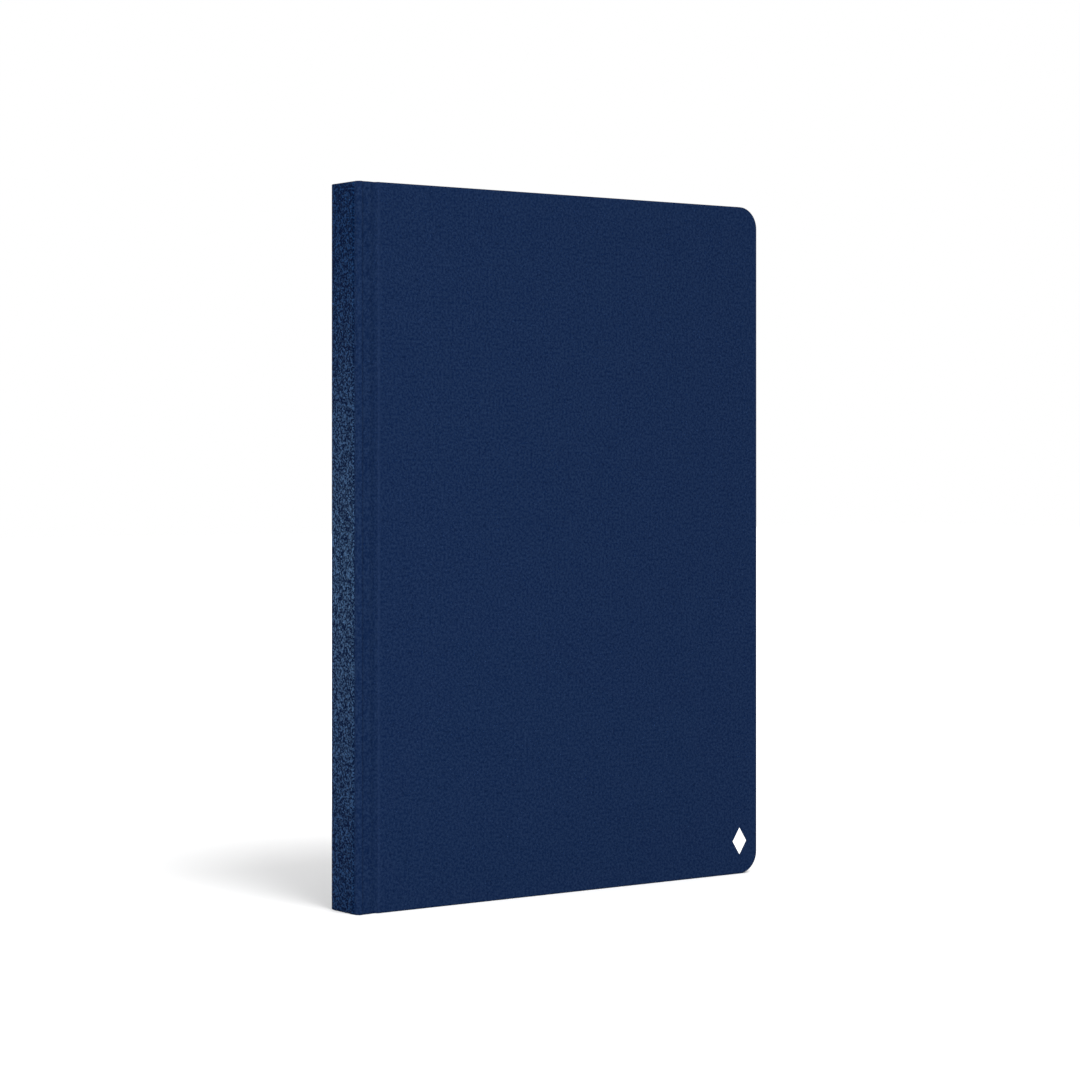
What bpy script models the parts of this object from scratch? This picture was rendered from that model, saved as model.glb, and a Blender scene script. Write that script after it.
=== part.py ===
"""A case-bound A5 pilot logbook. It stands on its tail, its spine at -X and its front cover facing -Y."""

import math

import bmesh
import bpy

MM = 0.001

# The leaves, and the case that stands past them
LEAF_WIDTH = 148 * MM
LEAF_HEIGHT = 210 * MM
HEAD_SQUARE = 3 * MM
BOOK_WIDTH = 154 * MM
BOOK_HEIGHT = LEAF_HEIGHT + 2 * HEAD_SQUARE
BOOK_THICKNESS = 15 * MM
COVER_CORNER = 7.5 * MM
LEAF_CORNER = 5.5 * MM
TURN_IN_WIDTH = 15 * MM

# Thicknesses
CLOTH = 0.35 * MM
BOARD = 1.9 * MM
SPINE_BOARD = 1.4 * MM
PASTEDOWN = 0.2 * MM
FLYLEAF = 0.2 * MM
SECTION = 0.9 * MM
GLUE_LINE = 0.1 * MM
MARK = 0.1 * MM

# The text block: folded sections side by side, the flyleaves outside them
SECTION_COUNT = 8
SECTION_PITCH = SECTION + GLUE_LINE
BLOCK_HALF = (SECTION_COUNT * SECTION_PITCH - GLUE_LINE) / 2
FLYLEAF_GAP = 0.12 * MM
ENDPAPER_FOLD_GAP = 0.2 * MM
PASTEDOWN_GAP = 0.3 * MM

# Planes of the case
SPINE_X = -BOOK_WIDTH / 2
FORE_X = BOOK_WIDTH / 2
FACE_Y = BOOK_THICKNESS / 2
TAIL_Z = 0.0
HEAD_Z = BOOK_HEIGHT
BOARD_START_X = SPINE_X + 7 * MM

# Distances of the layers of a cover from the middle plane of the book
CLOTH_INSIDE = FACE_Y - CLOTH
BOARD_OUTSIDE = CLOTH_INSIDE - GLUE_LINE
BOARD_INSIDE = BOARD_OUTSIDE - BOARD
TURN_IN_OUTSIDE = BOARD_INSIDE - GLUE_LINE
TURN_IN_INSIDE = TURN_IN_OUTSIDE - CLOTH
PASTEDOWN_OUTSIDE = TURN_IN_INSIDE - GLUE_LINE
PASTEDOWN_INSIDE = PASTEDOWN_OUTSIDE - PASTEDOWN
FLYLEAF_INSIDE = BLOCK_HALF + FLYLEAF_GAP
FLYLEAF_OUTSIDE = FLYLEAF_INSIDE + FLYLEAF

# Layers behind the spine, from the outside in
SPINE_BOARD_X = SPINE_X + CLOTH + GLUE_LINE
SPINE_TURN_IN_X = SPINE_BOARD_X + SPINE_BOARD + GLUE_LINE
FOLD_X = SPINE_X + 3.6 * MM
CHAIN_X = FOLD_X - 0.25 * MM
BAND_TAB_X = (FOLD_X - 0.4 * MM, FOLD_X - 0.1 * MM)
MULL_X = (FOLD_X - 0.6 * MM, FOLD_X - 0.48 * MM)
LINER_X = (FOLD_X - 0.9 * MM, FOLD_X - 0.7 * MM)
SPINE_BOARD_HALF = BLOCK_HALF + 0.05 * MM
SPINE_CLOTH_HALF = SPINE_BOARD_HALF
LINER_HALF = BLOCK_HALF - 0.05 * MM
LINER_INSET = 1 * MM
MULL_INSET = 10 * MM
LEAF_TAIL_Z = TAIL_Z + HEAD_SQUARE
LEAF_HEAD_Z = HEAD_Z - HEAD_SQUARE

# The cloth of a joint, along the middle of its thickness
SHOULDER_RADIUS = 1.2 * MM
SHOULDER_INSET = 0.02 * MM
GROOVE_DEPTH = 0.3 * MM
GROOVE_X = (SPINE_X + 2 * MM, SPINE_X + 4.8 * MM)
JOINT_END_GAP = 0.3 * MM

# Hinge axes seen from above: their X, and their distance from the middle plane of the book
COVER_AXIS_X = SPINE_X + 2.5 * MM
COVER_AXIS_Y = PASTEDOWN_INSIDE
LEAF_AXIS_Y = FLYLEAF_INSIDE + FLYLEAF / 2

# The sewing and the bands
CHAIN_COUNT = 4
CHAIN_RADIUS = 0.12 * MM
CHAIN_SWING = 1.2 * MM
CHAIN_INSET = 30 * MM
BAND_RADIUS = 0.75 * MM
BAND_CENTRE = (FOLD_X + 0.2 * MM, LEAF_HEAD_Z + 0.9 * MM)
BAND_TAB_Z = LEAF_HEAD_Z - 7 * MM

# The mark pressed into the front cover, a plain lozenge
MARK_CENTRE = (FORE_X - 7.4 * MM, TAIL_Z + 10.6 * MM)
MARK_SIZE = (5.6 * MM, 8.6 * MM)
MARK_RECESS = 0.18 * MM
MARK_CLEARANCE = 0.12 * MM

ARC_STEPS = 8
OVERCUT = 1 * MM
WELD_DISTANCE = 0.001 * MM
AXIS_MARK_SIZE = 10 * MM

SIDES = {"front": -1, "back": 1}

COLOURS = {
    "cover_cloth": ((0.012, 0.032, 0.082, 1), 0.75),
    "greyboard": ((0.30, 0.28, 0.25, 1), 0.9),
    "endpaper": ((0.80, 0.78, 0.72, 1), 0.85),
    "page_paper": ((0.86, 0.84, 0.77, 1), 0.85),
    "mull_gauze": ((0.78, 0.75, 0.66, 1), 0.95),
    "kraft_paper": ((0.42, 0.27, 0.15, 1), 0.9),
    "band_thread": ((0.10, 0.16, 0.32, 1), 0.7),
    "sewing_thread": ((0.85, 0.83, 0.76, 1), 0.7),
    "white_foil": ((0.90, 0.90, 0.90, 1), 0.4),
}


def clear_scene():
    for obj in list(bpy.data.objects):
        bpy.data.objects.remove(obj, do_unlink=True)


def new_collection(name, hidden=False):
    made = bpy.data.collections.new(name)
    made.hide_render = hidden
    bpy.context.scene.collection.children.link(made)
    return made


def new_material(name, colour, roughness):
    material = bpy.data.materials.new(name)
    material.use_nodes = True
    shader = material.node_tree.nodes["Principled BSDF"]
    shader.inputs["Base Color"].default_value = colour
    shader.inputs["Roughness"].default_value = roughness
    shader.inputs["Metallic"].default_value = 0.0
    material.diffuse_color = colour
    return material


def new_axis(name, x, y):
    """An empty on a hinge axis, which the pieces that turn about it are parented to."""
    axis = bpy.data.objects.new(name, None)
    axis.location = (x, y, 0)
    axis.empty_display_size = AXIS_MARK_SIZE
    LOGBOOK.objects.link(axis)
    return axis


def place(obj, collection, material=None, axis=None):
    collection.objects.link(obj)
    if material:
        obj.data.materials.append(MATERIALS[material])
    if axis:
        obj.parent = axis
        obj.location -= axis.location
    return obj


def box(name, x, y, z, material):
    """A block between three pairs of planes."""
    shape = bmesh.new()
    bmesh.ops.create_cube(shape, size=1)
    size = [high - low for low, high in (x, y, z)]
    bmesh.ops.scale(shape, vec=size, verts=shape.verts)
    mesh = bpy.data.meshes.new(name)
    shape.to_mesh(mesh)
    shape.free()
    obj = bpy.data.objects.new(name, mesh)
    obj.location = [(low + high) / 2 for low, high in (x, y, z)]
    return place(obj, LOGBOOK, material)


def plate(name, outline, y):
    """A flat outline in X and Z, run between two planes in Y, as a curve that isn't in a collection yet."""
    low, high = sorted(y)
    curve = bpy.data.curves.new(name, "CURVE")
    curve.dimensions = "2D"
    curve.fill_mode = "BOTH"
    curve.extrude = (high - low) / 2
    spline = curve.splines.new("POLY")
    spline.points.add(len(outline) - 1)
    for point, (across, up) in zip(spline.points, outline):
        point.co = (across, up, 0, 1)
    spline.use_cyclic_u = True
    obj = bpy.data.objects.new(name, curve)
    obj.rotation_euler.x = math.pi / 2
    obj.location.y = (low + high) / 2
    return obj


def as_mesh(curve_object, collection):
    """The same shape as a mesh with its caps welded, so that a Boolean can use it."""
    name = curve_object.name
    collection.objects.link(curve_object)
    bpy.context.view_layer.update()
    evaluated = curve_object.evaluated_get(bpy.context.evaluated_depsgraph_get())
    mesh = bpy.data.meshes.new_from_object(evaluated)
    shape = bmesh.new()
    shape.from_mesh(mesh)
    bmesh.ops.remove_doubles(shape, verts=shape.verts, dist=WELD_DISTANCE)
    bmesh.ops.recalc_face_normals(shape, faces=shape.faces)
    shape.to_mesh(mesh)
    shape.free()
    matrix = curve_object.matrix_world.copy()
    bpy.data.objects.remove(curve_object, do_unlink=True)
    obj = bpy.data.objects.new(name, mesh)
    obj.matrix_world = matrix
    return obj


def new_cutter(name, outline, y):
    cutter = place(as_mesh(plate(name, outline, y), CUTTERS), CUTTERS)
    cutter.hide_render = True
    cutter.display_type = "WIRE"
    return cutter


def combine(obj, operation, other):
    modifier = obj.modifiers.new(other.name, "BOOLEAN")
    modifier.operation = operation
    modifier.solver = "EXACT"
    modifier.object = other


def arc(centre, radius, start, end, steps=ARC_STEPS):
    """Points along an arc, with its angles in degrees."""
    angles = [math.radians(start + (end - start) * i / steps) for i in range(steps + 1)]
    return [(centre[0] + radius * math.cos(a), centre[1] + radius * math.sin(a)) for a in angles]


def leaf_outline(spine, fore, tail, head, radius):
    """A leaf or a board seen from the front: square at the spine, rounded at its two fore-edge corners."""
    corners = [(spine, head), (spine, tail)]
    corners += arc((fore - radius, tail + radius), radius, -90, 0)
    corners += arc((fore - radius, head - radius), radius, 0, 90)
    return corners


def rectangle(left, right, bottom, top):
    return [(left, top), (left, bottom), (right, bottom), (right, top)]


def lozenge(centre, width, height):
    x, z = centre
    return [(x, z + height / 2), (x - width / 2, z), (x, z - height / 2), (x + width / 2, z)]


def build_board(side_name, side, axis):
    inset = CLOTH + GLUE_LINE
    outline = leaf_outline(
        BOARD_START_X, FORE_X - inset, TAIL_Z + inset, HEAD_Z - inset, COVER_CORNER - inset
    )
    y = (side * BOARD_INSIDE, side * BOARD_OUTSIDE)
    place(plate(f"{side_name}_board", outline, y), LOGBOOK, "greyboard", axis)


def build_cover_cloth(side_name, side, axis):
    """The cloth on a board: its outer face, its three wrapped edges and the turn-ins on the inner face."""
    name = f"{side_name}_cover_cloth"
    outline = leaf_outline(BOARD_START_X, FORE_X, TAIL_Z, HEAD_Z, COVER_CORNER)
    cloth = as_mesh(plate(name, outline, (side * TURN_IN_INSIDE, side * FACE_Y)), LOGBOOK)
    pocket = leaf_outline(
        BOARD_START_X - OVERCUT, FORE_X - CLOTH, TAIL_Z + CLOTH, HEAD_Z - CLOTH, COVER_CORNER - CLOTH
    )
    pocket_y = (side * TURN_IN_OUTSIDE, side * CLOTH_INSIDE)
    combine(cloth, "DIFFERENCE", new_cutter(f"{side_name}_pocket", pocket, pocket_y))
    window = rectangle(
        BOARD_START_X - OVERCUT, FORE_X - TURN_IN_WIDTH, TAIL_Z + TURN_IN_WIDTH, HEAD_Z - TURN_IN_WIDTH
    )
    window_y = (side * (TURN_IN_INSIDE - OVERCUT), side * (TURN_IN_OUTSIDE + OVERCUT))
    combine(cloth, "DIFFERENCE", new_cutter(f"{side_name}_window", window, window_y))
    if side_name == "front":
        width, height = (size + MARK_CLEARANCE for size in MARK_SIZE)
        recess = lozenge(MARK_CENTRE, width, height)
        recess_y = (side * (FACE_Y - MARK_RECESS), side * (FACE_Y + OVERCUT))
        combine(cloth, "DIFFERENCE", new_cutter("mark_recess", recess, recess_y))
    place(cloth, LOGBOOK, "cover_cloth", axis)


def build_mark(axis):
    """The foil lies at the bottom of its recess, a little below the cloth's face."""
    outline = lozenge(MARK_CENTRE, *MARK_SIZE)
    outside = FACE_Y - (MARK_RECESS - MARK) / 2
    place(plate("cover_mark", outline, (-outside, MARK - outside)), LOGBOOK, "white_foil", axis)


def build_pastedown(side_name, side, axis):
    """The paper lies on the turn-ins all round, and sinks to the board inside them."""
    outline = leaf_outline(
        BOARD_START_X + PASTEDOWN_GAP, FORE_X - HEAD_SQUARE, LEAF_TAIL_Z, LEAF_HEAD_Z, LEAF_CORNER
    )
    y = (side * PASTEDOWN_INSIDE, side * PASTEDOWN_OUTSIDE)
    paper = as_mesh(plate(f"{side_name}_pastedown", outline, y), LOGBOOK)
    pad = rectangle(
        BOARD_START_X + 2 * PASTEDOWN_GAP,
        FORE_X - TURN_IN_WIDTH - PASTEDOWN_GAP,
        TAIL_Z + TURN_IN_WIDTH + PASTEDOWN_GAP,
        HEAD_Z - TURN_IN_WIDTH - PASTEDOWN_GAP,
    )
    pad_y = (side * (PASTEDOWN_INSIDE + PASTEDOWN / 2), side * TURN_IN_OUTSIDE)
    combine(paper, "UNION", new_cutter(f"{side_name}_pad", pad, pad_y))
    place(paper, LOGBOOK, "endpaper", axis)


def build_leaves(name, low, high, material, axis):
    """One leaf, or one section of leaves, between two planes in Y."""
    outline = leaf_outline(FOLD_X, FOLD_X + LEAF_WIDTH, LEAF_TAIL_Z, LEAF_HEAD_Z, LEAF_CORNER)
    place(plate(name, outline, (low, high)), LOGBOOK, material, axis)


def build_endpaper_joint(side_name, side):
    y = sorted((side * PASTEDOWN_INSIDE, side * PASTEDOWN_OUTSIDE))
    x = (FOLD_X + ENDPAPER_FOLD_GAP, BOARD_START_X)
    box(f"{side_name}_endpaper_joint", x, y, (LEAF_TAIL_Z, LEAF_HEAD_Z), "endpaper")


def joint_profile(side):
    """The joint's cloth in plan: along the spine, round the shoulder, through the groove, up to the board."""
    outer_x = SPINE_X + CLOTH / 2 + SHOULDER_INSET
    outer_y = FACE_Y - CLOTH / 2 - SHOULDER_INSET
    centre = (outer_x + SHOULDER_RADIUS, outer_y - SHOULDER_RADIUS)
    points = [(outer_x, SPINE_CLOTH_HALF + JOINT_END_GAP)]
    points += arc(centre, SHOULDER_RADIUS, 180, 90)
    points += [(x, outer_y - GROOVE_DEPTH) for x in GROOVE_X]
    points.append((BOARD_START_X - JOINT_END_GAP, outer_y))
    return [(x, side * y) for x, y in points]


def build_hinge_cloth(side_name, side):
    """An open sheet along the joint's profile, given the cloth's thickness."""
    name = f"{side_name}_hinge_cloth"
    shape = bmesh.new()
    low, high = TAIL_Z + JOINT_END_GAP, HEAD_Z - JOINT_END_GAP
    points = [shape.verts.new((x, y, low)) for x, y in joint_profile(side)]
    edges = [shape.edges.new(pair) for pair in zip(points, points[1:])]
    made = bmesh.ops.extrude_edge_only(shape, edges=edges)["geom"]
    raised = [item for item in made if isinstance(item, bmesh.types.BMVert)]
    bmesh.ops.translate(shape, vec=(0, 0, high - low), verts=raised)
    bmesh.ops.recalc_face_normals(shape, faces=shape.faces)
    mesh = bpy.data.meshes.new(name)
    shape.to_mesh(mesh)
    shape.free()
    cloth = place(bpy.data.objects.new(name, mesh), LOGBOOK, "cover_cloth")
    thickness = cloth.modifiers.new("cloth_thickness", "SOLIDIFY")
    thickness.thickness = CLOTH
    thickness.offset = 0
    thickness.use_even_offset = True


def build_spine():
    inset = CLOTH + GLUE_LINE
    box(
        "spine_board",
        (SPINE_BOARD_X, SPINE_BOARD_X + SPINE_BOARD),
        (-SPINE_BOARD_HALF, SPINE_BOARD_HALF),
        (TAIL_Z + inset, HEAD_Z - inset),
        "greyboard",
    )
    inner_x = SPINE_TURN_IN_X + CLOTH
    outline = [
        (SPINE_X, TAIL_Z),
        (inner_x, TAIL_Z),
        (inner_x, TAIL_Z + TURN_IN_WIDTH),
        (SPINE_TURN_IN_X, TAIL_Z + TURN_IN_WIDTH),
        (SPINE_TURN_IN_X, TAIL_Z + CLOTH),
        (SPINE_X + CLOTH, TAIL_Z + CLOTH),
        (SPINE_X + CLOTH, HEAD_Z - CLOTH),
        (SPINE_TURN_IN_X, HEAD_Z - CLOTH),
        (SPINE_TURN_IN_X, HEAD_Z - TURN_IN_WIDTH),
        (inner_x, HEAD_Z - TURN_IN_WIDTH),
        (inner_x, HEAD_Z),
        (SPINE_X, HEAD_Z),
    ]
    place(plate("spine_cloth", outline, (-SPINE_CLOTH_HALF, SPINE_CLOTH_HALF)), LOGBOOK, "cover_cloth")
    half = (-LINER_HALF, LINER_HALF)
    liner_z = (LEAF_TAIL_Z + LINER_INSET, LEAF_HEAD_Z - LINER_INSET)
    box("spine_liner", LINER_X, half, liner_z, "kraft_paper")
    mull_z = (LEAF_TAIL_Z + MULL_INSET, LEAF_HEAD_Z - MULL_INSET)
    box("mull", MULL_X, half, mull_z, "mull_gauze")


def build_band(name, at_tail):
    """A round bead over the ends of the sections, with a tab glued down their folds."""
    x, z = BAND_CENTRE
    right, left = (360 - math.degrees(math.acos((BAND_TAB_X[i] - x) / BAND_RADIUS)) for i in (1, 0))
    outline = [(BAND_TAB_X[0], BAND_TAB_Z), (BAND_TAB_X[1], BAND_TAB_Z)]
    outline += arc((x, z), BAND_RADIUS, right, left + 360, 3 * ARC_STEPS)
    if at_tail:
        outline = [(across, HEAD_Z - up) for across, up in reversed(outline)]
    place(plate(name, outline, (-LINER_HALF, LINER_HALF)), LOGBOOK, "band_thread")


def build_chain(number):
    """A line of link stitches across the folds, one link to each section."""
    z = CHAIN_INSET + (BOOK_HEIGHT - 2 * CHAIN_INSET) * (number - 1) / (CHAIN_COUNT - 1)
    curve = bpy.data.curves.new(f"sewing_chain_{number}", "CURVE")
    curve.dimensions = "3D"
    curve.bevel_depth = CHAIN_RADIUS
    curve.bevel_resolution = 1
    curve.use_fill_caps = True
    spline = curve.splines.new("POLY")
    spline.points.add(SECTION_COUNT - 1)
    for i, point in enumerate(spline.points):
        y = (i - (SECTION_COUNT - 1) / 2) * SECTION_PITCH
        swing = CHAIN_SWING / 2 if i % 2 else -CHAIN_SWING / 2
        point.co = (CHAIN_X, y, z + swing, 1)
    place(bpy.data.objects.new(f"sewing_chain_{number}", curve), LOGBOOK, "sewing_thread")


def build_sections():
    """Sections 1 to 4 turn with the front cover and 5 to 8 with the back cover, each about its own axis."""
    for number in range(1, SECTION_COUNT + 1):
        side = SIDES["front"] if number <= SECTION_COUNT // 2 else SIDES["back"]
        axis = new_axis(f"section_{number}_axis", FOLD_X, side * LEAF_AXIS_Y)
        low = (number - 1) * SECTION_PITCH - BLOCK_HALF
        build_leaves(f"section_{number}", low, low + SECTION, "page_paper", axis)


def build_case_side(side_name, side):
    cover_axis = new_axis(f"{side_name}_cover_axis", COVER_AXIS_X, side * COVER_AXIS_Y)
    build_board(side_name, side, cover_axis)
    build_cover_cloth(side_name, side, cover_axis)
    build_pastedown(side_name, side, cover_axis)
    if side_name == "front":
        build_mark(cover_axis)
    leaf_axis = new_axis(f"{side_name}_flyleaf_axis", FOLD_X, side * LEAF_AXIS_Y)
    flyleaf_y = (side * FLYLEAF_INSIDE, side * FLYLEAF_OUTSIDE)
    build_leaves(f"{side_name}_flyleaf", *flyleaf_y, "endpaper", leaf_axis)
    build_endpaper_joint(side_name, side)
    build_hinge_cloth(side_name, side)


clear_scene()
LOGBOOK = new_collection("pilot_logbook")
CUTTERS = new_collection("cutters", hidden=True)
MATERIALS = {name: new_material(name, *look) for name, look in COLOURS.items()}
for side_name, side in SIDES.items():
    build_case_side(side_name, side)
build_sections()
build_spine()
build_band("headband", at_tail=False)
build_band("tailband", at_tail=True)
for number in range(1, CHAIN_COUNT + 1):
    build_chain(number)
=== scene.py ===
"""The looks of a case-bound pilot logbook: its cloth, endpapers, folded sections, bands and materials.

All lengths are in metres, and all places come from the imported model. The book stands on its tail, with its
spine at low X, its front cover at low Y and its head at high Z.
"""

import math
import random

import bmesh
import bpy
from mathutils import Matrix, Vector


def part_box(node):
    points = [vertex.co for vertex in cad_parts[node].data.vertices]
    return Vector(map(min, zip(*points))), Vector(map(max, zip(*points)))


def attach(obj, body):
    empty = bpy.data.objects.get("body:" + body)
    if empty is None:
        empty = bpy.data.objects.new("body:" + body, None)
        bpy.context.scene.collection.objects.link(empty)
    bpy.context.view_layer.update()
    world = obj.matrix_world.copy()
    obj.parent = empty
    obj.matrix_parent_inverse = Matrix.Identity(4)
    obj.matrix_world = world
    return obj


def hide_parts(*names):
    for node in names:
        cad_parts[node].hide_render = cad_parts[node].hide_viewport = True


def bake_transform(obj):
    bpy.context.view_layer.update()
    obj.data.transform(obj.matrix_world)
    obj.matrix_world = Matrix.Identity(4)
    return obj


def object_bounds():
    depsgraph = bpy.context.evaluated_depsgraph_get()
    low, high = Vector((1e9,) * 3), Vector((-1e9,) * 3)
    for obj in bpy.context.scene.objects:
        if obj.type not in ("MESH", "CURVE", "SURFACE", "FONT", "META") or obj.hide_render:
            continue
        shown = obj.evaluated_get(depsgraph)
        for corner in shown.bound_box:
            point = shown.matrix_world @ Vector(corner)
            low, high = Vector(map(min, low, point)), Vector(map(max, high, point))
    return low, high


MM = 0.001

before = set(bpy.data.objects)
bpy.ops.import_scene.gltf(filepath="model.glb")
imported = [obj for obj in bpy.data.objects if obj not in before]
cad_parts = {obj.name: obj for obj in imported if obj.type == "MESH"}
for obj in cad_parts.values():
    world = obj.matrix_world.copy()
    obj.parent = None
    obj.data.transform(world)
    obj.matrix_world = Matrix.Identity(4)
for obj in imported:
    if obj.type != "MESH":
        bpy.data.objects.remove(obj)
cad_low, cad_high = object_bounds()

SIDES = {"front": -1, "back": 1}
SECTION_COUNT = 8
LEAVES_IN_SECTION = 8
SEED = 7

# Planes of the book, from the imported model
SPINE_X, FORE_X = cad_low.x, cad_high.x
FACE_Y = cad_high.y
TAIL_Z, HEAD_Z = cad_low.z, cad_high.z
BOARD_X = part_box("front_board")[0].x
LEAF_TAIL_Z, LEAF_HEAD_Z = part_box("section_1")[0].z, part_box("section_1")[1].z
FOLD_X, LEAF_FORE_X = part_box("section_1")[0].x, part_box("section_1")[1].x
PASTEDOWN_FORE_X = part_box("back_pastedown")[1].x
PASTEDOWN_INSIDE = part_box("back_pastedown")[0].y
COVER_CORNER = 6.9 * MM
LEAF_CORNER = 5.5 * MM
TURN_IN = 15 * MM

# The covering cloth: its turned edges at the boards, the spine and the joints
CLOTH_THICKNESS = 0.3 * MM
EDGE_RADIUS, THIN_EDGE_SHARE = 0.45 * MM, 0.45
EDGE_ARC_STEPS = 5
TURN_IN_LEAD = 0.5 * MM
BOARD_EDGE = 2.8 * MM
SPINE_EDGE = 2.3 * MM
JOINT_EDGE = 0.8 * MM
# Its shape in plan: shoulder, crease on the spine, strip, joint and the rise to the board
SHOULDER_RADIUS = {"front": 1.75 * MM, "back": 1.1 * MM}
CREASE_AT, CREASE_DEPTH, CREASE_WIDTH = FACE_Y - 2.2 * MM, 0.3 * MM, 0.32 * MM
CREASE_START, CREASE_APPROACH = CREASE_AT - 1.1 * MM, CREASE_AT - 1.4 * MM
STRIP_DEPTH, STRIP_FALL = 0.48 * MM, (SPINE_X + 1.4 * MM, SPINE_X + 2.4 * MM)
JOINT_DEPTH, JOINT_FALL = 0.36 * MM, (BOARD_X - 2.8 * MM, BOARD_X - 0.6 * MM)
BOARD_RISE = (BOARD_X - 0.5 * MM, BOARD_X + 0.4 * MM)
SPINE_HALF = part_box("spine_board")[1].y
SPINE_THINNING = (SPINE_HALF - 0.2 * MM, SPINE_HALF + 1.5 * MM)
EDGE_THICKENING = (BOARD_X - 0.8 * MM, BOARD_X - 0.25 * MM)
BORDER_ROWS, MIDDLE_ROWS = (0, 0.4 * MM, 1.2 * MM, 3 * MM), 42
# Points along it in plan, closer together where it curves
FLAT_POINTS, CREASE_POINTS, SHOULDER_POINTS, JOINT_POINTS, BOARD_POINTS, CORNER_POINTS = 6, 25, 10, 50, 26, 13
BEFORE_SHOULDER, AFTER_SHOULDER = 0.1 * MM, 0.12 * MM
JOINT_POINTS_END, BOARD_POINTS_START = BOARD_X + 0.5 * MM, BOARD_X + 1.5 * MM
# The coarse grain's faces lie before this x and face away from the book
SPINE_FACE_END, SPINE_FACE_TILT = SPINE_X + 0.35 * MM, -0.75
# The painted highlight, a paler line along a board's edge at the joint, and the recess for the mark
EDGE_HIGHLIGHT_AT, EDGE_HIGHLIGHT_WIDTH, EDGE_HIGHLIGHT_SHARE = BOARD_X + 0.45 * MM, 0.8 * MM, 0.3
MARK_CLEARANCE = 0.06 * MM
MARK_RECESS = 0.18 * MM

# Paper
LEAF_THICKNESS = 0.085 * MM
LEAF_BEND_END, LEAF_FLAT_START = FOLD_X + 21 * MM, FOLD_X + 30 * MM
FOLD_CENTRE_INSET = 0.4 * MM
ENDPAPER_THICKNESS = 0.15 * MM
TURN_IN_STEP = 0.2 * MM
# The glued endpaper: clearance from the turn-ins, how it sinks inside them and away from the joint, and its
# curl
PASTE_LIFT = 0.03 * MM
SINK_FROM_TURN_IN = (-0.2 * MM, 1.2 * MM)
SINK_FROM_JOINT = (BOARD_X + 0.6 * MM, BOARD_X + 2.5 * MM)
FOLD_CURL, FOLD_CURL_LENGTH = 0.1 * MM, 0.7 * MM
# The printed grid
ROW_PITCH, COLUMN_PITCH, RULE_WIDTH, RULE_SHARE = 7 * MM, 16 * MM, 0.16 * MM, 0.7
RULED_X = (FOLD_X + 8 * MM, LEAF_FORE_X - 7 * MM)
RULED_Z = (LEAF_TAIL_Z + 12 * MM, LEAF_HEAD_Z - 16 * MM)

# Head and tail bands
BAND_RADIUS = 0.74 * MM
BAND_WRAP = 0.5 * MM
BAND_THREAD = 0.09 * MM
BAND_END = 0.35 * MM
BAND_TAB_THICKNESS, BAND_TAB_INSET = 0.28 * MM, 0.2 * MM
RINGS_IN_WRAP, BAND_SIDES, SMALLEST_CAP = 8, 20, 0.02

# Colours
CLOTH_DARK, CLOTH_LIGHT = (0.0010, 0.0067, 0.0299), (0.0072, 0.0177, 0.0490)
# Colour of the painted highlight along the boards' edges at the joints
EDGE_HIGHLIGHT_BLUE = (0.0100, 0.0217, 0.0585)
PEBBLE_PIT, PEBBLE_TOP = (0.0003, 0.0036, 0.0200), (0.0060, 0.0270, 0.0850)
# Lit copies of the spine's pebble colours, for the painted highlight halfway up the spine
LIT_PEBBLE_PIT, LIT_PEBBLE_TOP = (0.0005, 0.0048, 0.0225), (0.0345, 0.0745, 0.1500)
PAPER_WHITE, ENDPAPER_CREAM = (0.66, 0.63, 0.56), (0.58, 0.555, 0.49)
RULE_BLUE = (0.24, 0.34, 0.46)
BAND_WHITE, BAND_NAVY, BAND_GREY = (0.80, 0.77, 0.68), (0.03, 0.055, 0.13), (0.35, 0.36, 0.40)
BOARD_DARK, BOARD_LIGHT, BOARD_FLECK = (0.20, 0.185, 0.165), (0.40, 0.375, 0.34), (0.10, 0.09, 0.08)
KRAFT_DARK, KRAFT_LIGHT = (0.30, 0.18, 0.09), (0.52, 0.35, 0.20)
GAUZE_GAP, GAUZE_THREAD = (0.42, 0.40, 0.34), (0.82, 0.79, 0.70)
LINEN_DARK, LINEN_LIGHT = (0.60, 0.56, 0.46), (0.86, 0.83, 0.74)
FOIL_DARK, FOIL_LIGHT = (0.84, 0.85, 0.87), (0.97, 0.97, 0.98)
FLOOR_DARK, FLOOR_LIGHT = (0.93, 0.93, 0.93), (0.95, 0.95, 0.95)

# Sizes of the patterns in the materials
CLOTH_GRAIN, CLOTH_PIT, CLOTH_CLOUD = 0.75 * MM, 1.1 * MM, 9 * MM
PEBBLE, PEBBLE_PATCH = 0.56 * MM, 3 * MM
# Height and reach of the painted highlight halfway up the spine
SPINE_HIGHLIGHT_HEIGHT, SPINE_HIGHLIGHT_REACH = TAIL_Z + 96 * MM, 112 * MM
PAPER_FIBRE, PAPER_CLOUD = 0.9 * MM, 14 * MM
THREAD_TWIST, THREAD_FIBRE = 0.9 * MM, 0.12 * MM
BOARD_FIBRE, FLECK_PITCH = 0.5 * MM, 1.4 * MM
KRAFT_FIBRE, KRAFT_STRETCH = 0.4 * MM, (1.0, 1.0, 0.25)
GAUZE_PITCH, LINEN_TWIST, FOIL_GRAIN = 3.2 * MM, 1.6 * MM, 0.22 * MM

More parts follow.
